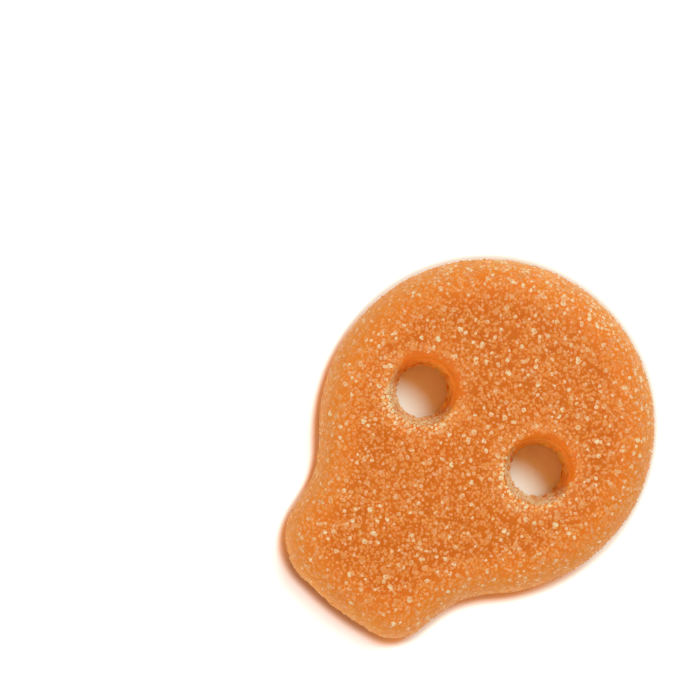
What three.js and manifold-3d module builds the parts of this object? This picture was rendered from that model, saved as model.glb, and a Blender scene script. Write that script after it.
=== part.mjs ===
// A sour gummy skull: one piece of orange jelly with two eye holes right through it, lying on its flat back,
// with the coarsest grains of its sugar coat standing out of the face and sides.
// Millimetres, +Z up. The crown points to +Y, the jaw to -Y, and the eyes lie side by side along X.

import * as THREE from "three";
import { mergeVertices } from "three/addons/utils/BufferGeometryUtils.js";
import Module from "manifold-3d";

// The outline is a belt pulled round these wheels, anticlockwise from the crown. A hollow wheel has the belt
// on its far side, where a cheek bends inwards. Plan positions are measured from midway between the eyes.
const WHEELS = [
  { name: "cranium", x: 0.4, y: 0.8, radius: 16.8 },
  { name: "left cheek", x: -20.15, y: -15.25, radius: 9.2, hollow: true },
  { name: "left jaw", x: -5.1, y: -16.4, radius: 5.85 },
  { name: "chin", x: -0.2, y: 2.15, radius: 24.95 },
  { name: "right jaw", x: 2.6, y: -18.6, radius: 4.05 },
  { name: "right cheek", x: 15.2, y: -19.5, radius: 8.3, hollow: true },
];
const PLAN_CENTRE = { x: 0.4, y: -2.6 }; // the middle of the outline, which becomes the origin

const FACE_HEIGHT = 7.2; // where the shoulder ends and the face begins
const DOME_RISE = 0.8; // how far the middle of the face stands above that
const BACK_INSET = 0.8; // the flat back is this much smaller all round than the widest line
const WIDEST_AT = 1.1; // height of the widest line above the back
const SHOULDER_WIDTH = 3.9; // from the widest line in to the face
const SHOULDER_FULLNESS = 2.2; // 2 is an ellipse, and more is squarer

const EYE_SPACING = 13.84;
const THROAT_RADIUS = 2.55; // the narrow end of an eye, near the back
const THROAT_HEIGHT = 0.55;
const BACK_FLARE = 0.35; // how far the hole opens again at the back
const FUNNEL_RADIUS = 3.1; // the eye's radius where its rounded lip begins
const FUNNEL_HEIGHT = 5.5;
const LIP_WIDTH = 1.5;
const LIP_HEIGHT = 2.7;
const LIP_SWEEP = 1.3; // radians of the lip's quarter round, short of the face so that it meets it at an angle

const GRAIN_LONG = [0.7, 0.9]; // the coarsest sugar grains, least and greatest length
const GRAIN_WIDE = [0.75, 0.95]; // width and thickness as shares of the length
const GRAIN_THICK = [0.6, 0.85];
const GRAIN_SUNK = 0.12; // how far a grain's middle lies under the jelly's surface
const GRAIN_SPACING = 2.8; // no two grains are nearer than this
const GRAIN_LOWEST = 0.95; // keeps the sides' grains clear of what the sweet lies on
const GRAIN_EYE_CLEARANCE = 4.6; // grains stay this far from an eye's middle
const SEED = 20231;

const AROUND = 96; // points round the outline
const UNDER_STEPS = 3; // rings from the back to the widest line
const SHOULDER_STEPS = 8; // rings from the widest line to the face
const FACE_STEPS = 5; // rings across the face
const EYE_SEGMENTS = 28;

const { PI, cos, sin, acos, atan2, hypot } = Math;
const wasm = await Module();
wasm.setup();

function beltOutline(wheels) {
  const signed = wheels.map((w) => (w.hollow ? -w.radius : w.radius));
  // The belt's outward direction on each straight stretch between a wheel and the next one.
  const outward = wheels.map((wheel, i) => {
    const next = (i + 1) % wheels.length;
    const across = new THREE.Vector2(wheels[next].x - wheel.x, wheels[next].y - wheel.y);
    return across.angle() - acos((signed[i] - signed[next]) / across.length());
  });
  const path = new THREE.Path();
  wheels.forEach((wheel, i) => {
    const last = outward.at(i - 1);
    const turned = wheel.hollow ? PI : 0;
    path.absarc(wheel.x, wheel.y, wheel.radius, last + turned, outward[i] + turned, wheel.hollow);
  });
  path.closePath();
  return path;
}

function outlinePoints(path, count) {
  return Array.from({ length: count }, (_, i) => {
    const place = path.getPointAt(i / count);
    const along = path.getTangentAt(i / count);
    return { place, outward: new THREE.Vector2(along.y, -along.x) };
  });
}

// Each ring is the outline moved in by inset at a height, from the back's edge up to the edge of the face.
function sideProfile() {
  const rings = [];
  for (let i = 0; i < UNDER_STEPS; i++) {
    const turn = ((i / UNDER_STEPS) * PI) / 2;
    rings.push({ inset: BACK_INSET * (1 - sin(turn)), height: WIDEST_AT * (1 - cos(turn)) });
  }
  for (let i = 0; i <= SHOULDER_STEPS; i++) {
    const turn = ((i / SHOULDER_STEPS) * PI) / 2;
    rings.push({
      inset: SHOULDER_WIDTH * (1 - cos(turn) ** (2 / SHOULDER_FULLNESS)),
      height: WIDEST_AT + (FACE_HEIGHT - WIDEST_AT) * sin(turn) ** (2 / SHOULDER_FULLNESS),
    });
  }
  return rings;
}

function jellyGeometry() {
  const outline = outlinePoints(beltOutline(WHEELS), AROUND);
  const rings = sideProfile().map(({ inset, height }) =>
    outline.map(({ place, outward }) => {
      const moved = place.clone().addScaledVector(outward, -inset);
      return new THREE.Vector3(moved.x, moved.y, height);
    }),
  );
  const faceEdge = rings.at(-1);
  const middle = new THREE.Vector3(PLAN_CENTRE.x, PLAN_CENTRE.y, FACE_HEIGHT);
  for (let i = FACE_STEPS - 1; i > 0; i--) {
    const out = i / FACE_STEPS;
    const rise = DOME_RISE * (1 - out ** 2) ** 2;
    rings.push(
      faceEdge.map((edge) => {
        const point = middle.clone().lerp(edge, out);
        point.z += rise;
        return point;
      }),
    );
  }
  const backMiddle = new THREE.Vector3(PLAN_CENTRE.x, PLAN_CENTRE.y, 0);
  const faceMiddle = new THREE.Vector3(PLAN_CENTRE.x, PLAN_CENTRE.y, FACE_HEIGHT + DOME_RISE);
  return closedLoft(rings, backMiddle, faceMiddle);
}

// A closed skin over rings of points, with each end drawn together in one point.
function closedLoft(rings, first, last) {
  const around = rings[0].length;
  const points = [...rings.flat(), first, last];
  const firstAt = points.length - 2;
  const lastAt = points.length - 1;
  const faces = [];
  for (let j = 0; j < around; j++) {
    const next = (j + 1) % around;
    faces.push(firstAt, next, j);
    for (let i = 0; i + 1 < rings.length; i++) {
      const low = i * around;
      const high = low + around;
      faces.push(low + j, low + next, high + next, low + j, high + next, high + j);
    }
    const top = (rings.length - 1) * around;
    faces.push(lastAt, top + j, top + next);
  }
  return new THREE.BufferGeometry().setFromPoints(points).setIndex(faces);
}

// What an eye takes out of the jelly: a narrow throat that widens towards the face and ends in a rounded lip.
function eyeGeometry() {
  const below = -1;
  const above = FACE_HEIGHT + DOME_RISE + 2;
  const flareSteps = 3;
  const lipSteps = 6;
  const profile = [new THREE.Vector2(0, below), new THREE.Vector2(THROAT_RADIUS + BACK_FLARE, below)];
  for (let i = 0; i <= flareSteps; i++) {
    const turn = ((i / flareSteps) * PI) / 2;
    profile.push(
      new THREE.Vector2(THROAT_RADIUS + BACK_FLARE * (1 - sin(turn)), THROAT_HEIGHT * (1 - cos(turn))),
    );
  }
  for (let i = 0; i <= lipSteps; i++) {
    const turn = (i / lipSteps) * LIP_SWEEP;
    profile.push(
      new THREE.Vector2(FUNNEL_RADIUS + LIP_WIDTH * (1 - cos(turn)), FUNNEL_HEIGHT + LIP_HEIGHT * sin(turn)),
    );
  }
  profile.push(new THREE.Vector2(profile.at(-1).x + LIP_WIDTH, above), new THREE.Vector2(0, above));
  return new THREE.LatheGeometry(profile, EYE_SEGMENTS).rotateX(PI / 2);
}

function seededRandom(seed) {
  let state = seed;
  return () => {
    state = (state + 0x6d2b79f5) | 0;
    let mixed = Math.imul(state ^ (state >>> 15), 1 | state);
    mixed = (mixed + Math.imul(mixed ^ (mixed >>> 7), 61 | mixed)) ^ mixed;
    return ((mixed ^ (mixed >>> 14)) >>> 0) / 4294967296;
  };
}

// Places for grains, thrown at random over the skin and kept where no earlier one is too near.
function scatter(geometry, eyes, random) {
  const tries = 9000;
  const skin = geometry.toNonIndexed().getAttribute("position");
  const corner = [0, 1, 2].map(() => new THREE.Vector3());
  const shares = [];
  let area = 0;
  for (let i = 0; i < skin.count; i += 3) {
    corner.forEach((c, k) => c.fromBufferAttribute(skin, i + k));
    area += new THREE.Triangle(...corner).getArea();
    shares.push(area);
  }
  const kept = [];
  for (let n = 0; n < tries; n++) {
    const aim = random() * area;
    const face = shares.findIndex((share) => share >= aim);
    corner.forEach((c, k) => c.fromBufferAttribute(skin, 3 * face + k));
    const [u, v] = [random(), random()];
    const [a, b] = u + v < 1 ? [u, v] : [1 - u, 1 - v];
    const place = corner[0].clone().multiplyScalar(1 - a - b);
    place.addScaledVector(corner[1], a).addScaledVector(corner[2], b);
    const normal = new THREE.Triangle(...corner).getNormal(new THREE.Vector3());
    const clearOfEyes = eyes.every((eye) => hypot(place.x - eye, place.y) > GRAIN_EYE_CLEARANCE);
    const clearOfOthers = kept.every((other) => other.place.distanceTo(place) > GRAIN_SPACING);
    if (place.z > GRAIN_LOWEST && clearOfEyes && clearOfOthers) kept.push({ place, normal });
  }
  return kept;
}

function grainGeometry({ place, normal }, random) {
  const between = ([least, greatest]) => least + random() * (greatest - least);
  const long = between(GRAIN_LONG);
  const box = new THREE.BoxGeometry(long, long * between(GRAIN_WIDE), long * between(GRAIN_THICK));
  const turned = new THREE.Euler(random() * PI, random() * PI, random() * PI);
  box.applyQuaternion(new THREE.Quaternion().setFromEuler(turned));
  const sunk = place.clone().addScaledVector(normal, -GRAIN_SUNK);
  return box.translate(sunk.x, sunk.y, sunk.z);
}

function solidFrom(geometry) {
  const bare = geometry.clone();
  bare.deleteAttribute("normal");
  bare.deleteAttribute("uv");
  const merged = mergeVertices(bare, 1e-4);
  return new wasm.Manifold(
    new wasm.Mesh({
      numProp: 3,
      vertProperties: new Float32Array(merged.getAttribute("position").array),
      triVerts: new Uint32Array(merged.index.array),
    }),
  );
}

function geometryFrom(solid) {
  const { vertProperties, triVerts } = solid.getMesh();
  const geometry = new THREE.BufferGeometry();
  geometry.setAttribute("position", new THREE.BufferAttribute(vertProperties, 3));
  geometry.setIndex(new THREE.BufferAttribute(triVerts, 1));
  geometry.computeVertexNormals();
  return geometry;
}

function gummySkull() {
  const random = seededRandom(SEED);
  const eyes = [-EYE_SPACING / 2, EYE_SPACING / 2];
  const jelly = jellyGeometry();
  let solid = solidFrom(jelly);
  for (const eye of eyes) solid = solid.subtract(solidFrom(eyeGeometry().translate(eye, 0, 0)));
  for (const spot of scatter(jelly, eyes, random)) solid = solid.add(solidFrom(grainGeometry(spot, random)));
  const sugaredJelly = new THREE.MeshStandardMaterial({ color: 0xdd7a2e, roughness: 0.55, metalness: 0 });
  const mesh = new THREE.Mesh(geometryFrom(solid), sugaredJelly);
  mesh.name = "gummy_skull";
  return mesh;
}

const skull = new THREE.Group();
skull.add(gummySkull());
skull.position.set(-PLAN_CENTRE.x, -PLAN_CENTRE.y, 0);

export default skull;
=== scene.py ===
import math

import bpy
import numpy as np
from mathutils import Euler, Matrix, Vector, noise


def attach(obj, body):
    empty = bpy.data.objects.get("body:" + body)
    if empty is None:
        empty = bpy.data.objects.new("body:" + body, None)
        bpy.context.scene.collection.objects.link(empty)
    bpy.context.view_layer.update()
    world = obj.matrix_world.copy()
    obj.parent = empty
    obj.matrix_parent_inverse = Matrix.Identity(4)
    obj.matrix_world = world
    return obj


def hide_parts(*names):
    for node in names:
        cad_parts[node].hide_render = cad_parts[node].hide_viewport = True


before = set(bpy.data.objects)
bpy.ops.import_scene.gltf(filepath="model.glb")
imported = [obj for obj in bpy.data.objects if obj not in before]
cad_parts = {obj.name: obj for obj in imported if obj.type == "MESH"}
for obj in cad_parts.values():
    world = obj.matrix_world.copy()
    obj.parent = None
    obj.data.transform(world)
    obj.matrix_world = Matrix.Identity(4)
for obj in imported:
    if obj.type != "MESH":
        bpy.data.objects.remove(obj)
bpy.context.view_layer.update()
mm = 0.001

# the sweet's plan: a belt round six wheels (x, y, radius, hollow), in mm from midway between the eyes
plan = {
    "wheels": {
        "cranium": (0.4, 0.8, 16.8, False),
        "leftCheek": (-20.15, -15.25, 9.2, True),
        "leftJaw": (-5.1, -16.4, 5.85, False),
        "chin": (-0.2, 2.15, 24.95, False),
        "rightJaw": (2.6, -18.6, 4.05, False),
        "rightCheek": (15.2, -19.5, 8.3, True),
    },
    "middle": (0.4, -2.6),  # the outline's middle, which is the frame's origin
    "eyeSpacing": 13.84,
    "coat": 0.15,  # the bare jelly lies this far inside the sugared outline
    "arcPoints": 60,  # points on each wheel's arc
}
eyeXs = [(side * plan["eyeSpacing"] / 2 - plan["middle"][0]) * mm for side in (-1, 1)]
eyeY = -plan["middle"][1] * mm


def deselectAll():
    if bpy.context.object and bpy.context.object.mode == "EDIT":
        bpy.ops.object.mode_set(mode="OBJECT")
    bpy.ops.object.select_all(action="DESELECT")


def makeActive(piece):
    deselectAll()
    piece.select_set(True)
    bpy.context.view_layer.objects.active = piece


def applyModifier(piece, kind, **settings):
    makeActive(piece)
    modifier = piece.modifiers.new(kind.lower(), kind)
    for name, value in settings.items():
        setattr(modifier, name, value)
    bpy.ops.object.modifier_apply(modifier=modifier.name)


def readPoints(mesh):
    found = np.empty(len(mesh.vertices) * 3, np.float32)
    mesh.vertices.foreach_get("co", found)
    return found.reshape(-1, 3).astype(float)


def writePoints(mesh, points):
    mesh.vertices.foreach_set("co", np.asarray(points, np.float32).ravel())
    mesh.update()


def settleOrder(piece):
    # operators leave points and faces in an order that changes from run to run, so it is made the same
    mesh = piece.data
    points = readPoints(mesh)
    order = np.lexsort(points.T)
    rank = np.argsort(order).tolist()
    faces = []
    for face in mesh.polygons:
        corners = [rank[v] for v in face.vertices]
        first = corners.index(min(corners))
        faces.append(corners[first:] + corners[:first])
    settled = bpy.data.meshes.new(mesh.name)
    settled.from_pydata(points[order].tolist(), [], sorted(faces))
    piece.data = settled
    bpy.data.meshes.remove(mesh)


def beltOutline(count):
    wheels = [(x, y, -r if hollow else r) for x, y, r, hollow in plan["wheels"].values()]
    angles = []  # the belt's outward direction between each wheel and the next
    for i, (x, y, r) in enumerate(wheels):
        nextX, nextY, nextR = wheels[(i + 1) % len(wheels)]
        reach = math.hypot(nextX - x, nextY - y)
        angles.append(math.atan2(nextY - y, nextX - x) - math.acos((r - nextR) / reach))
    path = []
    for i, (x, y, r) in enumerate(wheels):
        turn = angles[i] - angles[i - 1]
        turn = -(-turn % math.tau) if r < 0 else turn % math.tau
        bare = r - plan["coat"]
        for angle in np.linspace(angles[i - 1], angles[i - 1] + turn, plan["arcPoints"]):
            path.append((x + bare * math.cos(angle), y + bare * math.sin(angle)))
    path = np.array(path) - plan["middle"]
    path = np.vstack([path, path[:1]])
    along = np.r_[0, np.cumsum(np.linalg.norm(np.diff(path, axis=0), axis=1))]
    even = np.linspace(0, along[-1], count, endpoint=False)
    return np.c_[np.interp(even, along, path[:, 0]), np.interp(even, along, path[:, 1])] * mm


# sizes in mm
jelly = {
    "around": 220,  # points round the outline
    "backHeight": 0.2,  # the bare jelly's flat back stands on the grains under it
    "widestAt": 1.1,
    "backInset": 0.8,
    "faceHeight": 7.05,
    "domeRise": 0.8,
    "domeReach": 9.5,  # from the shoulder's end in to the dome's level middle
    "shoulderWidth": 3.75,
    "shoulderFullness": 2.2,  # 2 is an ellipse, and more is squarer
    "shoulderSteps": 14,
    "underSteps": 6,
    "sliver": 0.02,  # the thin slice that the slab is drawn out from
    "slack": 0.05,  # keeps the tightest jaw corner open
    "voxel": 0.2,
    "smoothing": 6,
    "lumpSize": 3.2,
    "lumpHeight": 0.16,
    "pebbleSize": 0.7,
    "pebbleHeight": 0.09,
    "thinReach": 5.5,  # how far in from the edge the jelly counts as thin
    "steepFacing": (0.05, 0.5),  # how far up a surface faces, from steep to not steep
}
eye = {
    "throatRadius": 2.6,
    "throatHeight": 0.75,
    "backFlare": 0.35,
    "funnelRadius": 3.15,
    "funnelHeight": 5.5,
    "lipWidth": 1.5,
    "lipHeight": 2.7,
    "lipSweep": 1.3,  # radians of its quarter round
    "lipSteps": 9,
    "flareSteps": 6,
    "cutHeights": (-1.0, 12.0),  # the cutter reaches past both faces
    "segments": 72,
    "bite": 0.45,
    "biteDepth": 0.2,
    "biteHeight": 5.0,
    "biteStretch": 0.4,  # below 1, the bites are upright flutes
    "biteReach": 3.4,  # from an eye's middle, as the next four are too
    "sugarRim": (2.6, 4.8),
    "litLip": (3.5, 4.8),
    "bareLip": (3.0, 5.2),
    "bareReach": (2.2, 1.8),  # on the jaw's side, and how much more on the crown's side
    "bareEdge": 0.35,
    "bareTurn": (-0.5, 0.6),  # how far crownward, from the least reach to the most
    "litTurn": (-0.2, 0.6),  # the same towards the jaw for the lit lip
    "rimEdge": 0.8,
    "wallDust": 1.6,  # how much more dust the steep walls hold
}


def selectFace(piece, upward):
    bpy.ops.mesh.select_mode(type="FACE")
    bpy.ops.mesh.select_all(action="DESELECT")
    bpy.ops.object.mode_set(mode="OBJECT")
    for face in piece.data.polygons:  # only the flat face and the flat back have many corners
        face.select = len(face.vertices) > 8 and face.normal.z * upward > 0.5
    bpy.ops.object.mode_set(mode="EDIT")


def insetAlong(steps):
    before = steps[0]
    for inset, height in steps[1:]:
        bpy.ops.mesh.inset(thickness=inset - before[0], depth=abs(height - before[1]))
        before = (inset, height)


def shoulderSteps():
    steps = []
    for i in range(jelly["shoulderSteps"] + 1):
        turn = i / jelly["shoulderSteps"] * math.pi / 2
        power = 2 / jelly["shoulderFullness"]
        rise = jelly["faceHeight"] - jelly["widestAt"]
        steps.append(
            (
                jelly["shoulderWidth"] * (1 - math.cos(turn) ** power) * mm,
                (jelly["widestAt"] + rise * math.sin(turn) ** power) * mm,
            )
        )
    steps[-1] = (steps[-1][0] - jelly["slack"] * mm, steps[-1][1])
    return steps


def underSteps():
    drop = jelly["widestAt"] - jelly["backHeight"]
    turns = [i / jelly["underSteps"] * math.pi / 2 for i in range(jelly["underSteps"] + 1)]
    return [
        (jelly["backInset"] * (1 - math.cos(t)) * mm, (jelly["widestAt"] - drop * math.sin(t)) * mm)
        for t in turns
    ]


def makeSlab():
    deselectAll()
    sliver = jelly["sliver"] * mm
    bpy.ops.mesh.primitive_circle_add(
        vertices=jelly["around"],
        radius=plan["wheels"]["cranium"][2] * mm,
        fill_type="NGON",
        location=(0, 0, jelly["widestAt"] * mm - sliver),
    )
    slab = bpy.context.object
    slab.name = "jelly"
    bpy.ops.object.transform_apply(location=True)
    outline = beltOutline(jelly["around"])
    for vertex, place in zip(slab.data.vertices, outline):
        vertex.co.xy = place
    bpy.ops.object.mode_set(mode="EDIT")
    bpy.ops.mesh.select_all(action="SELECT")
    bpy.ops.mesh.extrude_region_move(TRANSFORM_OT_translate={"value": (0, 0, sliver)})
    bpy.ops.mesh.select_all(action="SELECT")
    bpy.ops.mesh.normals_make_consistent(inside=False)
    selectFace(slab, 1)
    insetAlong(shoulderSteps())
    selectFace(slab, -1)
    insetAlong(underSteps())
    bpy.ops.object.mode_set(mode="OBJECT")
    settleOrder(slab)
    return slab, outline


def eyeProfile():
    below, above = eye["cutHeights"]
    profile = [(eye["throatRadius"] + eye["backFlare"], below)]
    for i in range(eye["flareSteps"] + 1):
        turn = i / eye["flareSteps"] * math.pi / 2
        out = eye["backFlare"] * (1 - math.sin(turn))
        up = jelly["backHeight"] + (eye["throatHeight"] - jelly["backHeight"]) * (1 - math.cos(turn))
        profile.append((eye["throatRadius"] + out, up))
    for i in range(eye["lipSteps"] + 1):
        turn = i / eye["lipSteps"] * eye["lipSweep"]
        out = eye["lipWidth"] * (1 - math.cos(turn))
        up = eye["lipHeight"] * math.sin(turn)
        profile.append((eye["funnelRadius"] + out, eye["funnelHeight"] + up))
    profile.append((profile[-1][0] + eye["lipWidth"], above))
    return profile


def makeEyeCutter(x):
    deselectAll()
    profile = eyeProfile()
    radius, height = profile[0]
    bpy.ops.mesh.primitive_circle_add(
        vertices=eye["segments"], radius=radius * mm, fill_type="NGON", location=(x, eyeY, height * mm)
    )
    cutter = bpy.context.object
    bpy.ops.object.transform_apply(location=True)
    bpy.ops.object.mode_set(mode="EDIT")
    bpy.ops.mesh.select_all(action="SELECT")
    for nextRadius, nextHeight in profile[1:]:
        rise = (nextHeight - height) * mm
        bpy.ops.mesh.extrude_region_move(TRANSFORM_OT_translate={"value": (0, 0, rise)})
        grow = nextRadius / radius
        bpy.ops.transform.resize(value=(grow, grow, 1), center_override=(x, eyeY, nextHeight * mm))
        radius, height = nextRadius, nextHeight
    bpy.ops.mesh.select_all(action="SELECT")
    bpy.ops.mesh.normals_make_consistent(inside=False)
    bpy.ops.object.mode_set(mode="OBJECT")
    settleOrder(cutter)
    return cutter


def domeFace(piece, outline):
    points = readPoints(piece.data)
    inward = insetOf(points, outline)
    out = np.clip(1 - (inward - jelly["shoulderWidth"] * mm) / (jelly["domeReach"] * mm), 0, 1)
    upper = np.clip(points[:, 2] / (jelly["faceHeight"] * mm), 0, 1) ** 2
    points[:, 2] += jelly["domeRise"] * mm * (1 - out**2) ** 2 * upper
    writePoints(piece.data, points)


def insetOf(points, outline):
    nearest = np.full(len(points), np.inf)
    for place in outline:
        nearest = np.minimum(nearest, np.hypot(points[:, 0] - place[0], points[:, 1] - place[1]))
    return nearest


def addAttribute(mesh, name, values):
    layer = mesh.attributes.new(name, "FLOAT", "POINT")
    layer.data.foreach_set("value", np.asarray(values, np.float32))


def smoothStep(values, low, high):
    share = np.clip((values - low) / (high - low), 0, 1)
    return share * share * (3 - 2 * share)


def eyeDistance(points):
    return np.minimum(
        np.hypot(points[:, 0] - eyeXs[0], points[:, 1] - eyeY),
        np.hypot(points[:, 0] - eyeXs[1], points[:, 1] - eyeY),
    )


def crownward(points):
    # 1 straight towards the crown from the nearest eye's middle, and -1 towards the jaw
    return (points[:, 1] - eyeY) / np.maximum(eyeDistance(points), mm)


def shadedBareWall(points):
    # the eye walls on the crown's side lie in the key light's shade; hardly any sugar is put on them up
    # to the lip, so no pale grains show in the shade (painted shade), and the material paints them with a
    # glow
    least, more = eye["bareReach"]
    reach = least + more * smoothStep(crownward(points), *eye["bareTurn"])
    return 1 - smoothStep(eyeDistance(points) / mm, reach - eye["bareEdge"], reach + eye["bareEdge"])


def litLip(points):
    # the jaw's side of an eye's lip, which faces the light
    near = 1 - smoothStep(eyeDistance(points) / mm, *eye["litLip"])
    return near * smoothStep(-crownward(points), *eye["litTurn"])


def raggedThroat(points):
    # the throat's edge is bitten by the coarse sugar it was cast against
    low = points[:, 2] < eye["biteHeight"] * mm
    for i in np.nonzero((eyeDistance(points) < eye["biteReach"] * mm) & low)[0]:
        x, y, z = points[i]
        eyeX = min(eyeXs, key=lambda value: abs(value - x))
        place = Vector((x, y, z * eye["biteStretch"])) / (eye["bite"] * mm)
        push = noise.noise(place) * eye["biteDepth"] * mm
        away = math.hypot(x - eyeX, y - eyeY)
        points[i, :2] += (x - eyeX) / away * push, (y - eyeY) / away * push
    return points


def eyeRim(points):
    # a ring round each eye where the sugar gathers
    away = eyeDistance(points) / mm
    low, high = eye["sugarRim"]
    edge = eye["rimEdge"]
    return smoothStep(away, low - edge, low) * (1 - smoothStep(away, high - edge, high + edge))


def roughen(piece, size, height):
    texture = bpy.data.textures.new("lumps", "CLOUDS")
    texture.noise_scale = size * mm
    texture.noise_depth = 2
    applyModifier(
        piece, "DISPLACE", texture=texture, texture_coords="LOCAL", strength=height * mm, mid_level=0.5
    )


def markPlaces(piece, outline):
    # where the jelly is thin (painted lighter there), bare on a shaded eye wall (painted with a glow),
    # steep, at an eye's lip or in its sugary rim, for the material
    points = readPoints(piece.data)
    facing = np.empty(len(points) * 3, np.float32)
    piece.data.vertices.foreach_get("normal", facing)
    bare = shadedBareWall(points)
    steep = 1 - smoothStep(facing.reshape(-1, 3)[:, 2], *jelly["steepFacing"])
    rim = eyeRim(points) * (1 - bare) * (1 + eye["wallDust"] * steep)
    addAttribute(piece.data, "thin", 1 - smoothStep(insetOf(points, outline) / mm, 0, jelly["thinReach"]))
    addAttribute(piece.data, "bare", bare)
    addAttribute(piece.data, "steep", steep)
    addAttribute(piece.data, "lip", 1 - smoothStep(eyeDistance(points) / mm, *eye["bareLip"]))
    addAttribute(piece.data, "rim", rim)


def makeJelly():
    slab, outline = makeSlab()
    for x in eyeXs:
        cutter = makeEyeCutter(x)
        applyModifier(slab, "BOOLEAN", object=cutter, operation="DIFFERENCE", solver="EXACT")
        bpy.data.objects.remove(cutter)
        settleOrder(slab)
    applyModifier(slab, "REMESH", mode="VOXEL", voxel_size=jelly["voxel"] * mm)
    applyModifier(slab, "SMOOTH", factor=0.5, iterations=jelly["smoothing"])
    domeFace(slab, outline)
    roughen(slab, jelly["lumpSize"], jelly["lumpHeight"])
    roughen(slab, jelly["pebbleSize"], jelly["pebbleHeight"])
    points = readPoints(slab.data)
    points[:, 2] = np.maximum(points[:, 2], jelly["backHeight"] * mm)
    writePoints(slab.data, raggedThroat(points))
    makeActive(slab)
    bpy.ops.object.shade_smooth()
    markPlaces(slab, outline)
    return slab


jellyPiece = makeJelly()
print("jelly made", len(jellyPiece.data.polygons), "faces")


# each kind: least and greatest length in mm, spacing between middles, how many at most, depth sunk as a
# share of the length, bevel, and how pale its dullest and its palest grain are
grains = {
    "coarse": {
        "long": (0.48, 0.76), "spacing": 0.84, "most": 1100,
        "sunk": 0.44, "bevel": 0.24, "pale": (0.3, 1.0),
    },
    "medium": {
        "long": (0.34, 0.52), "spacing": 0.48, "most": 3500,
        "sunk": 0.38, "bevel": 0.24, "pale": (0.0, 1.0),
    },
    "fine": {
        "long": (0.2, 0.34), "spacing": 0.3, "most": 9000,
        "sunk": 0.32, "bevel": 0.0, "pale": (0.0, 0.64),
    },
}
sugar = {
    "seed": 412,
    "tries": 6,  # places drawn for each grain that is kept
    "patch": 1.3,  # mm, how wide the thick and thin patches are
    "patchEdge": 0.35,  # the noise value where a patch is at its thickest
    "thinnest": 0.25,  # share of grains kept in the thinnest patch
    "backShare": 0.7,  # the back holds this share of what the face does
    "rimExtra": 1.4,  # how much more the eyes' rims hold
    "jawSideLess": 0.6,  # the sides that face the jaw hold less
    "jawFacing": (0.35, 0.9),  # how far they face it, from where this sets in to where it is full
    "small": 1.4,  # above 1, most grains are nearer the least length
    "wide": (0.7, 0.95),  # width and thickness as shares of the length
    "flat": (0.55, 0.85),
    "lean": 0.12,  # how far a grain leans over, as a share of its thickness
    "jitter": 0.12,  # how uneven the unbevelled grains are
    "raised": 0.15,  # how high a grain's middle would be if it weren't sunk, as a share of its length
    "softShading": 0.35,  # how much of a grain's shading follows the jelly, as light spreads through both
    "leastUp": 0.15,  # and the least that it faces up by, except on the back
    "paintedClearMiddle": 0.5,  # painted see-through and glint: a grain's middle takes this share of its paleness, as a clear grain's middle shows the jelly and its edges catch the light
    "sideSunk": 0.08,  # how much deeper the grains sit on the sides, as a share of their length
    "sunkFacing": (0.1, 0.6),  # how far up a surface faces, from side to face
    "sidesLess": 0.4,  # the steep sides hold fewer grains
    "sideGlow": 0.75,  # and there the grains are painted towards the jelly's orange, a painted glow of light through the jelly
    "glowFacing": (0.1, 0.8),
    "glowReach": (4.4, 5.6),  # mm from an eye's middle, as it isn't so inside the eyes
    "crownGlowLess": 0.5,  # less of this painted glow on the crown's side, which the key light falls on, than on the shaded jaw's side
    "lipPaintedLight": 0.4,  # painted light: the grains on an eye's lip are paler on the jaw's side, which faces the key light
    "crownPaintedLight": 0.3,  # and so are those on the crown's side of the sweet, which the key light falls on
    "crownFacing": (0.2, 0.8),
}


def skinSamples(piece, draw, count):
    mesh = piece.data
    mesh.calc_loop_triangles()
    corners = np.empty(len(mesh.loop_triangles) * 3, np.int32)
    mesh.loop_triangles.foreach_get("vertices", corners)
    corners = corners.reshape(-1, 3)
    points = readPoints(mesh)
    a, b, c = (points[corners[:, k]] for k in range(3))
    cross = np.cross(b - a, c - a)
    area = np.linalg.norm(cross, axis=1)
    facing = cross / area[:, None]
    middle = (a + b + c) / 3
    onBack = facing[:, 2] < -0.8
    # no grains on the eye walls in shade, and fewer on the back
    weight = area * (1 - shadedBareWall(middle)) * np.where(onBack, sugar["backShare"], 1.0)
    weight *= 1 + sugar["rimExtra"] * eyeRim(middle) * (facing[:, 2] > 0)
    weight *= 1 - sugar["jawSideLess"] * smoothStep(-facing[:, 1], *sugar["jawFacing"])
    weight *= 1 - sugar["sidesLess"] * (1 - smoothStep(np.abs(facing[:, 2]), *jelly["steepFacing"]))
    chosen = np.searchsorted(np.cumsum(weight), draw.random(count) * weight.sum())
    u, v = draw.random(count), draw.random(count)
    folded = u + v > 1
    u[folded], v[folded] = 1 - u[folded], 1 - v[folded]
    u, v = u[:, None], v[:, None]
    place = a[chosen] * (1 - u - v) + b[chosen] * u + c[chosen] * v
    patch = np.array([noise.noise(Vector(p)) for p in place / (sugar["patch"] * mm)])
    thick = smoothStep(patch, -sugar["patchEdge"], sugar["patchEdge"])
    kept = draw.random(count) < sugar["thinnest"] + (1 - sugar["thinnest"]) * thick
    return place[kept], facing[chosen][kept]


def keepApart(places, spacing, most):
    kept = []
    cells = {}
    for i, place in enumerate(places / spacing):
        cell = tuple(np.floor(place).astype(int))
        near = (
            other
            for dx in (-1, 0, 1)
            for dy in (-1, 0, 1)
            for dz in (-1, 0, 1)
            for other in cells.get((cell[0] + dx, cell[1] + dy, cell[2] + dz), ())
        )
        if all(sum((p - q) ** 2 for p, q in zip(place, other)) > 1 for other in near):
            cells.setdefault(cell, []).append(tuple(place))
            kept.append(i)
            if len(kept) == most:
                break
    return np.array(kept)


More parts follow.
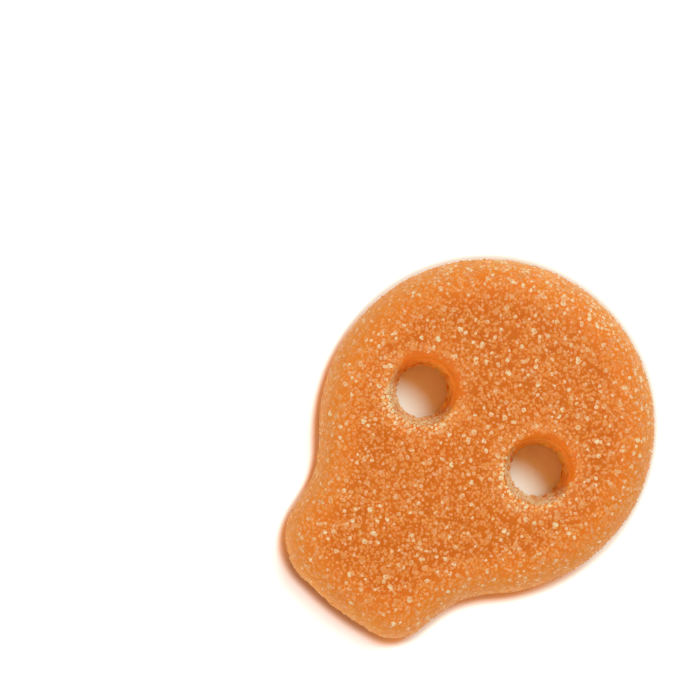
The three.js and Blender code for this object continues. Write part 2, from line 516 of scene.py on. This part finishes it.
def grainShape(kind):
    deselectAll()
    bpy.ops.mesh.primitive_cube_add(size=1)
    block = bpy.context.object
    bpy.ops.object.mode_set(mode="EDIT")
    bpy.ops.mesh.select_all(action="SELECT")
    if grains[kind]["bevel"]:
        bpy.ops.mesh.bevel(offset=grains[kind]["bevel"], segments=1)
        bpy.ops.mesh.select_all(action="DESELECT")
        bpy.ops.object.mode_set(mode="OBJECT")
        for face in block.data.polygons:
            face.select = max(abs(v) for v in face.normal) > 0.9
        bpy.ops.object.mode_set(mode="EDIT")
        bpy.ops.mesh.poke()
    bpy.ops.mesh.select_all(action="SELECT")
    bpy.ops.mesh.quads_convert_to_tris()
    bpy.ops.object.mode_set(mode="OBJECT")
    settleOrder(block)
    points = readPoints(block.data)
    # the middles of the poked faces: a painted clear middle, with the paler edges as painted glints
    middles = np.sum(np.abs(points) < 0.01, axis=1) == 2
    points[:, 0] += sugar["lean"] * points[:, 2]
    faces = [tuple(face.vertices) for face in block.data.polygons]
    bpy.data.objects.remove(block)
    return points, np.array(faces), np.where(middles, sugar["paintedClearMiddle"], 1.0)


def turnings(draw, count):
    # one rotation matrix for each grain
    angles = draw.random((count, 3)) * math.tau
    (ca, cb, cc), (sa, sb, sc) = np.cos(angles.T), np.sin(angles.T)
    return np.stack(
        [
            np.stack([cb * cc, sa * sb * cc - ca * sc, ca * sb * cc + sa * sc], -1),
            np.stack([cb * sc, sa * sb * sc + ca * cc, ca * sb * sc - sa * cc], -1),
            np.stack([-sb, sa * cb, ca * cb], -1),
        ],
        1,
    )


def grainMesh(kind, points, corners):
    mesh = bpy.data.meshes.new("sugar_" + kind)
    mesh.vertices.add(len(points))
    mesh.loops.add(corners.size)
    mesh.polygons.add(len(corners))
    mesh.vertices.foreach_set("co", points.astype(np.float32).ravel())
    mesh.loops.foreach_set("vertex_index", corners.astype(np.int32).ravel())
    mesh.polygons.foreach_set("loop_start", np.arange(len(corners), dtype=np.int32) * 3)
    mesh.update(calc_edges=True)
    mesh.validate()
    return mesh


def markTones(mesh, tones, places, facing, shares):
    # how pale each grain is, with painted light making grains that face the key paler, and how much
    # painted glow of the jelly it takes on
    # painted light: paler grains where they face the key light
    tones = tones + sugar["lipPaintedLight"] * litLip(places)
    tones += sugar["crownPaintedLight"] * smoothStep(facing[:, 1], *sugar["crownFacing"])
    # painted glow on the steep sides outside the eyes, strongest on the shaded jaw's side
    outside = smoothStep(eyeDistance(places) / mm, *sugar["glowReach"])
    side = outside * (1 - smoothStep(np.abs(facing[:, 2]), *sugar["glowFacing"]))
    side *= sugar["sideGlow"] - sugar["crownGlowLess"] * facing[:, 1]
    addAttribute(mesh, "tone", np.outer(tones.clip(0, 1), shares).ravel())
    addAttribute(mesh, "side", np.repeat(side, len(shares)))


def softenShading(mesh, turned, facing):
    mesh.polygons.foreach_set("use_smooth", np.ones(len(mesh.polygons), bool))
    own = turned / np.linalg.norm(turned, axis=2, keepdims=True)
    soft = own * (1 - sugar["softShading"]) + facing[:, None] * sugar["softShading"]
    onFace = (facing[:, 2] > -0.3)[:, None]
    soft[:, :, 2] = np.where(onFace, np.maximum(soft[:, :, 2], sugar["leastUp"]), soft[:, :, 2])
    soft /= np.linalg.norm(soft, axis=2, keepdims=True)
    mesh.normals_split_custom_set_from_vertices(soft.reshape(-1, 3).tolist())


def scatterGrains(kind, draw):
    values = grains[kind]
    places, facing = skinSamples(jellyPiece, draw, values["most"] * sugar["tries"])
    kept = keepApart(places, values["spacing"] * mm, values["most"])
    places, facing = places[kept], facing[kept]
    count = len(kept)
    shape, faces, shares = grainShape(kind)
    low, high = values["long"]
    long = (low + (high - low) * draw.random(count) ** sugar["small"]) * mm
    wide, flat = draw.uniform(*sugar["wide"], count), draw.uniform(*sugar["flat"], count)
    scale = long[:, None] * np.c_[np.ones(count), wide, flat]
    uneven = draw.standard_normal((count, len(shape), 3)).clip(-1.5, 1.5) * (values["bevel"] == 0)
    local = shape[None] * (1 + sugar["jitter"] * uneven) * scale[:, None]
    turned = np.einsum("nij,nvj->nvi", turnings(draw, count), local)
    sunk = values["sunk"] + sugar["sideSunk"] * (1 - smoothStep(facing[:, 2], *sugar["sunkFacing"]))
    centre = places + facing * ((sugar["raised"] - sunk) * long)[:, None]
    points = (turned + centre[:, None]).reshape(-1, 3)
    points[:, 2] = np.maximum(points[:, 2], 0)
    corners = (faces[None] + np.arange(count)[:, None, None] * len(shape)).reshape(-1, 3)
    mesh = grainMesh(kind, points, corners)
    markTones(mesh, draw.uniform(*values["pale"], count), places, facing, shares)
    softenShading(mesh, turned, facing)
    piece = bpy.data.objects.new("sugar_" + kind, mesh)
    bpy.context.scene.collection.objects.link(piece)
    piece.visible_shadow = False  # clear sugar lets the light through
    print("sugar", kind, count, "grains", len(corners), "faces")
    return piece


draw = np.random.default_rng(sugar["seed"])
sugarPieces = {kind: scatterGrains(kind, draw) for kind in grains}


def newGroup(name, inputs, outputs):
    group = bpy.data.node_groups.new(name, "ShaderNodeTree")
    for title, kind, value in inputs:
        socket = group.interface.new_socket(title, in_out="INPUT", socket_type=kind)
        if value is not None:
            socket.default_value = value
    for title, kind in outputs:
        group.interface.new_socket(title, in_out="OUTPUT", socket_type=kind)
    return group, group.nodes.new("NodeGroupInput").outputs, group.nodes.new("NodeGroupOutput").inputs


def addNode(tree, kind, links=None, **settings):
    node = tree.nodes.new(kind)
    for name, value in settings.items():
        setattr(node, name, value)
    for name, source in (links or {}).items():
        socket = node.inputs[name]
        if isinstance(source, bpy.types.NodeSocket):
            tree.links.new(source, socket)
        else:
            socket.default_value = source
    return node


def readAttribute(tree, name):
    return addNode(tree, "ShaderNodeAttribute", attribute_name=name).outputs["Fac"]


def doSum(tree, operation, *values):
    return addNode(tree, "ShaderNodeMath", dict(enumerate(values)), operation=operation).outputs[0]


def stretch(tree, value, fromLow, fromHigh, toLow=0.0, toHigh=1.0):
    ends = {"From Min": fromLow, "From Max": fromHigh, "To Min": toLow, "To Max": toHigh}
    return addNode(tree, "ShaderNodeMapRange", {"Value": value, **ends}).outputs[0]


def mixColour(tree, share, first, second):
    node = tree.nodes.new("ShaderNodeMix")
    node.data_type = "RGBA"
    for socket, source in zip((node.inputs[0], node.inputs[6], node.inputs[7]), (share, first, second)):
        if isinstance(source, bpy.types.NodeSocket):
            tree.links.new(source, socket)
        else:
            socket.default_value = source
    return node.outputs[2]


dustLook = {
    "patches": 1.4,  # in each mm
    "patchNoise": (0.35, 0.65),  # the noise values where the dust is thinnest and thickest
    "patchLeast": 0.35,  # what is left of it in the thinnest patch
    "spotEdge": (0.1, 0.62),  # from a spot's full middle out to its end, in cells
}


def makeSugarDust():
    group, inside, out = newGroup(
        "sugarDust",
        [
            ("Vector", "NodeSocketVector", None),
            ("Grain Scale", "NodeSocketFloat", None),
            ("Cover", "NodeSocketFloat", None),
        ],
        [("Dust", "NodeSocketFloat"), ("Height", "NodeSocketFloat")],
    )
    where = inside["Vector"]
    cells = addNode(group, "ShaderNodeTexVoronoi", {"Vector": where, "Scale": inside["Grain Scale"]})
    patches = addNode(
        group, "ShaderNodeTexNoise",
        {"Vector": where, "Scale": dustLook["patches"] / mm, "Detail": 3.0},
    )
    spot = stretch(group, cells.outputs["Distance"], *dustLook["spotEdge"], 1.0, 0.0)
    lot = addNode(group, "ShaderNodeSeparateColor", {"Color": cells.outputs["Color"]}).outputs[0]
    spot = doSum(group, "MULTIPLY", spot, doSum(group, "LESS_THAN", lot, inside["Cover"]))
    patchy = stretch(group, patches.outputs[0], *dustLook["patchNoise"], dustLook["patchLeast"])
    group.links.new(doSum(group, "MULTIPLY", spot, patchy), out["Dust"])
    group.links.new(spot, out["Height"])
    return group


def newMaterial(name):
    material = bpy.data.materials.new(name)
    material.use_nodes = True
    tree = material.node_tree
    return material, tree, tree.nodes["Principled BSDF"]


jellyLook = {
    "deep": (0.55, 0.131, 0.005, 1),
    "mid": (0.585, 0.15, 0.008, 1),
    # painted glow: the jelly is painted lighter and yellower at its thin edge, where light shines through
    # it
    "thin": (0.69, 0.222, 0.024, 1),
    "lip": (0.61, 0.145, 0.008, 1),  # the bare jelly round an eye
    "wallGlow": (0.86, 0.25, 0.018, 1),  # its steep wall on the crown's side, which lies in shade: a painted glow, brighter than the face
    "wallFootGlow": (1.0, 0.5, 0.09, 1),
    "wallHeights": (5.6, 2.2),  # mm, from the wall's painted glow down to its foot's, which is painted brighter still where the shade is deeper
    "mottles": 0.42,  # in each mm
    "mottleNoise": (0.35, 0.65),  # the noise values where the colour is deep and mid
    "dust": (0.77, 0.41, 0.135, 1),
    "dustSize": 0.34,  # mm
    "dustCover": 0.7,  # share of the spots that are there
    "dustShares": (1.0, 0.05),  # how strong they are on the face, and on the bare walls
    "dustBump": (0.6, 0.08),  # strength, and height in mm
    "rimDust": (0.35, 0.14),  # more dust round the eyes: a share of its spots, and an even veil
    "roughness": 0.6,
    "shine": 0.2,
    "bending": 1.42,  # index of refraction
    "glowRadius": (4.0, 2.0, 0.8),
    "passes": (0.285, 0.092, 0.022, 1),  # what a skin of the clear jelly lets through where it is thick
    "passesLip": (0.72, 0.5, 0.1, 1),  # at an eye's lip
    "passesThin": (0.92, 0.48, 0.06, 1),  # and at the sweet's edge
    "passesCurve": 1.6,  # above 1, the edge's colour stays nearer the edge
}


def jellyColour(tree, where, thin, bare):
    clouds = addNode(
        tree, "ShaderNodeTexNoise",
        {"Vector": where, "Scale": jellyLook["mottles"] / mm, "Detail": 4.0},
    )
    mottle = stretch(tree, clouds.outputs[0], *jellyLook["mottleNoise"])
    body = mixColour(tree, mottle, jellyLook["deep"], jellyLook["mid"])
    # painted glow towards the thin edge
    body = mixColour(tree, thin, body, jellyLook["thin"])
    # painted glow: the shaded eye wall is painted a brighter orange than the face, brighter still towards
    # its foot, in place of light through the jelly
    height = addNode(tree, "ShaderNodeSeparateXYZ", {0: where}).outputs[2]
    top, foot = jellyLook["wallHeights"]
    low = stretch(tree, height, top * mm, foot * mm)
    wallGlow = mixColour(tree, low, jellyLook["wallGlow"], jellyLook["wallFootGlow"])
    wallGlow = mixColour(tree, readAttribute(tree, "steep"), jellyLook["lip"], wallGlow)
    return mixColour(tree, bare, body, wallGlow)


def dustAmount(tree, spots, bare):
    onFace, onWall = jellyLook["dustShares"]
    amount = doSum(tree, "MULTIPLY", spots, stretch(tree, bare, 0.0, 1.0, onFace, onWall))
    rim = readAttribute(tree, "rim")
    more, veil = jellyLook["rimDust"]
    more = doSum(tree, "MULTIPLY_ADD", rim, more, 1.0)
    return doSum(tree, "MULTIPLY_ADD", amount, more, doSum(tree, "MULTIPLY", rim, veil))


def setGlow(shader, look, radius):
    shader.inputs["Roughness"].default_value = look["roughness"]
    shader.inputs["Specular IOR Level"].default_value = look["shine"]
    shader.inputs["IOR"].default_value = look["bending"]
    shader.inputs["Subsurface Weight"].default_value = 1.0
    shader.inputs["Subsurface Radius"].default_value = [v * mm for v in radius]
    shader.inputs["Subsurface Scale"].default_value = 1.0


def letLightThrough(tree, shader, thin):
    # the lamps' light crosses the jelly and takes its colour
    path = addNode(tree, "ShaderNodeLightPath")
    edge = doSum(tree, "POWER", thin, jellyLook["passesCurve"])
    passes = mixColour(tree, readAttribute(tree, "lip"), jellyLook["passes"], jellyLook["passesLip"])
    passes = mixColour(tree, edge, passes, jellyLook["passesThin"])
    clear = addNode(tree, "ShaderNodeBsdfTransparent", {"Color": passes})
    through = addNode(
        tree, "ShaderNodeMixShader",
        {0: path.outputs["Is Shadow Ray"], 1: shader.outputs[0], 2: clear.outputs[0]},
    )
    tree.links.new(through.outputs[0], tree.nodes["Material Output"].inputs["Surface"])


def makeJellyMaterial(dustGroup):
    material, tree, shader = newMaterial("sugaredJelly")
    where = addNode(tree, "ShaderNodeTexCoord").outputs["Object"]
    thin, bare = readAttribute(tree, "thin"), readAttribute(tree, "bare")
    dust = tree.nodes.new("ShaderNodeGroup")
    dust.node_tree = dustGroup
    tree.links.new(where, dust.inputs["Vector"])
    dust.inputs["Cover"].default_value = jellyLook["dustCover"]
    dust.inputs["Grain Scale"].default_value = 1 / (jellyLook["dustSize"] * mm)
    body = jellyColour(tree, where, thin, bare)
    colour = mixColour(tree, dustAmount(tree, dust.outputs["Dust"], bare), body, jellyLook["dust"])
    tree.links.new(colour, shader.inputs["Base Color"])
    strength, height = jellyLook["dustBump"]
    bump = addNode(
        tree, "ShaderNodeBump",
        {"Height": dust.outputs["Height"], "Strength": strength, "Distance": height * mm},
    )
    tree.links.new(bump.outputs[0], shader.inputs["Normal"])
    setGlow(shader, jellyLook, jellyLook["glowRadius"])
    letLightThrough(tree, shader, thin)
    return material


sugarLook = {
    "dull": (0.63, 0.22, 0.03, 1),
    "bright": (0.71, 0.63, 0.4, 1),
    "toneCurve": 2.7,
    "side": (0.85, 0.33, 0.05, 1),  # painted glow: on the sides the grains are painted the jelly's orange, as if it shone through them
    "sideShare": 0.36,
    "roughness": 0.35,
    "shine": 0.3,
    "bending": 1.5,
    "glowRadius": 0.14,
    "cloudSize": 0.2,  # mm, cloudy spots inside the grains
    "cloudNoise": (0.4, 0.6),
    "cloudShare": 0.25,
}


def makeSugarMaterial():
    material, tree, shader = newMaterial("sugarGrain")
    where = addNode(tree, "ShaderNodeTexCoord").outputs["Object"]
    clouds = addNode(
        tree, "ShaderNodeTexNoise",
        {"Vector": where, "Scale": 1 / (sugarLook["cloudSize"] * mm), "Detail": 1.0},
    )
    cloudy = stretch(tree, clouds.outputs[0], *sugarLook["cloudNoise"], 1 - sugarLook["cloudShare"])
    bright = doSum(tree, "POWER", readAttribute(tree, "tone"), sugarLook["toneCurve"])
    bright = doSum(tree, "MULTIPLY", bright, cloudy)
    # painted glow: grains on the sides are mixed towards the jelly's orange
    side = doSum(tree, "MULTIPLY", readAttribute(tree, "side"), sugarLook["sideShare"])
    colour = mixColour(tree, bright, sugarLook["dull"], sugarLook["bright"])
    colour = mixColour(tree, side, colour, sugarLook["side"])
    tree.links.new(colour, shader.inputs["Base Color"])
    setGlow(shader, sugarLook, [sugarLook["glowRadius"]] * 3)
    return material


dustGroup = makeSugarDust()
jellyPiece.data.materials.append(makeJellyMaterial(dustGroup))
sugarMaterial = makeSugarMaterial()
for piece in sugarPieces.values():
    piece.data.materials.append(sugarMaterial)

jellyPiece.name = "jelly_body"
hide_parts("gummy_skull")
for piece in (jellyPiece, *sugarPieces.values()):
    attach(piece, "root")
print("materials made")


studio = {
    "floorSize": 3.0,
    "floorColour": (0.9, 0.9, 0.9, 1),
    "paintedFloorUnder": (0.82, 0.9, 0.9, 1),  # painted: under the sweet the floor is made less red, to take back some of its red light reflected to and fro there
    "underInset": 2.0,  # mm inside the edge
    "floorGlow": 0.65,  # the light table's own light, from a little past the sweet's edge; the band left without it is a painted shadow
    "glowShadowFringe": (0.95, 0.85, 0.66, 1),  # its colour at that edge, orange-tinted: a painted orange shadow fringe
    "glowRings": (0.3, 0.45, 0.6, 0.8, 1.05, 1.35),  # mm past the edge on the jaw's side
    "glowCrown": 0.55,  # how much of that on the lit side, where the painted shadow band is narrower
    "shadeTurn": 168.5,  # where the shadow reaches furthest, in degrees as keyTurn is
    "shadeEdge": (-0.2, 0.8),  # how far an edge faces that way, from the narrow band to the wide one
    "floorRoughness": 0.9,
    "floorShine": 0.2,
    "skyColour": (1.0, 0.93, 0.82, 1),
    "lampColour": (0.98, 0.97, 0.87),
    "skyLow": 0.12,  # the sky's brightness up to the middle of its height
    "skyTop": 0.06,  # overhead, where the camera is
    "skyHeights": (0.6, 0.85),  # where one begins to turn into the other, and where it has
    "keyTurn": 9.5,  # degrees from the crown towards the viewer's right
    "keyHeight": 59.0,  # degrees above the floor
    "keyDistance": 1.5,
    "keySize": 0.5,
    "keyPower": 17.9,
    "fills": {190.0: 13.5, 280.0: 5.9, 100.0: 4.0},  # turn and power, lighting the sweet alone
    "fillHeight": 34.0,
    "fillSize": 1.4,
    "cameraTurn": 34.67,  # the photograph's tilt of the eye line
    "cameraAim": (-15.54, 1.91),  # what the photograph's middle looks at
    "cameraHeight": 0.5,
    "viewWidth": 70.0,
    "sensor": 36.0,
    "clip": (0.01, 20),  # m
}


def makeFloor():
    count = jelly["around"]
    low, high = studio["glowRings"][0], studio["glowRings"][-1]
    edge = beltOutline(count)
    along = np.roll(edge, -1, axis=0) - np.roll(edge, 1, axis=0)
    outward = np.c_[along[:, 1], -along[:, 0]] / np.linalg.norm(along, axis=1, keepdims=True)
    # painted shadow: the glow starts further past the edge on the side the shadow falls to
    turn = math.radians(studio["shadeTurn"])
    shaded = smoothStep(outward @ (math.sin(turn), math.cos(turn)), *studio["shadeEdge"])
    share = studio["glowCrown"] + (1 - studio["glowCrown"]) * shaded
    rings = [edge - outward * studio["underInset"] * mm, edge]
    rings += [edge + outward * (share * reach * mm)[:, None] for reach in studio["glowRings"]]
    rings.append(rings[-1] * studio["floorSize"] / np.abs(rings[-1]).max())
    points = np.vstack(rings)
    faces = [tuple(range(count))]
    for ring in range(len(rings) - 1):
        for i in range(count):
            a, b = ring * count + i, ring * count + (i + 1) % count
            faces.append((a, a + count, b + count, b))
    mesh = bpy.data.meshes.new("floor")
    mesh.from_pydata([(x, y, 0) for x, y in points], [], faces)
    reaches = np.repeat([low, low, *studio["glowRings"], high], count)
    addAttribute(mesh, "open", smoothStep(reaches, low, high))
    addAttribute(mesh, "under", np.arange(len(points)) < count)
    floor = bpy.data.objects.new("floor", mesh)
    bpy.context.scene.collection.objects.link(floor)
    material, tree, shader = newMaterial("paleFloor")
    shader.inputs["Roughness"].default_value = studio["floorRoughness"]
    shader.inputs["Specular IOR Level"].default_value = studio["floorShine"]
    beyond, under = readAttribute(tree, "open"), readAttribute(tree, "under")
    # painted: less red under the sweet
    colour = mixColour(tree, under, studio["floorColour"], studio["paintedFloorUnder"])
    tree.links.new(colour, shader.inputs["Base Color"])
    # painted shadow: no glow in the band along the sweet's edge, orange-tinted where it begins
    glow = mixColour(tree, beyond, studio["glowShadowFringe"], (1, 1, 1, 1))
    glow = mixColour(tree, beyond, (0, 0, 0, 1), glow)
    tree.links.new(glow, shader.inputs["Emission Color"])
    shader.inputs["Emission Strength"].default_value = studio["floorGlow"]
    mesh.materials.append(material)


def makeLights():
    world = bpy.data.worlds.new("studioSky")
    bpy.context.scene.world = world
    world.use_nodes = True
    tree = world.node_tree
    direction = addNode(tree, "ShaderNodeTexCoord").outputs["Generated"]
    height = addNode(tree, "ShaderNodeSeparateXYZ", {0: direction}).outputs[2]
    strength = stretch(tree, height, *studio["skyHeights"], studio["skyLow"], studio["skyTop"])
    sky = tree.nodes["Background"]
    sky.inputs["Color"].default_value = studio["skyColour"]
    tree.links.new(strength, sky.inputs["Strength"])
    makeSoftbox("key", studio["keyTurn"], studio["keyHeight"], studio["keySize"], studio["keyPower"])
    lit = bpy.data.collections.new("litByFill")
    for piece in (jellyPiece, *sugarPieces.values()):
        lit.objects.link(piece)
    for turn, power in studio["fills"].items():
        fill = makeSoftbox("fill", turn, studio["fillHeight"], studio["fillSize"], power)
        fill.light_linking.receiver_collection = lit


def makeSoftbox(name, turn, height, size, power):
    turn, height = math.radians(turn), math.radians(height)
    towards = Vector(
        (math.sin(turn) * math.cos(height), math.cos(turn) * math.cos(height), math.sin(height))
    )
    light = bpy.data.lights.new(name, "AREA")
    light.shape = "DISK"
    light.size = size
    light.energy = power
    light.color = studio["lampColour"]
    box = bpy.data.objects.new(name, light)
    box.location = towards * studio["keyDistance"]
    box.rotation_euler = towards.to_track_quat("Z", "Y").to_euler()
    bpy.context.scene.collection.objects.link(box)
    return box


def makeCamera():
    camera = bpy.data.cameras.new("camera")
    camera.sensor_width = studio["sensor"]
    camera.lens = studio["sensor"] * studio["cameraHeight"] / (studio["viewWidth"] * mm)
    camera.clip_start, camera.clip_end = studio["clip"]
    holder = bpy.data.objects.new("camera", camera)
    aimX, aimY = studio["cameraAim"]
    holder.location = (aimX * mm, aimY * mm, studio["cameraHeight"])
    holder.rotation_euler = Euler((0, 0, math.radians(studio["cameraTurn"])))
    bpy.context.scene.collection.objects.link(holder)
    bpy.context.scene.camera = holder


makeFloor()
makeLights()
makeCamera()
bpy.context.scene.view_settings.view_transform = "Standard"
print("studio made")
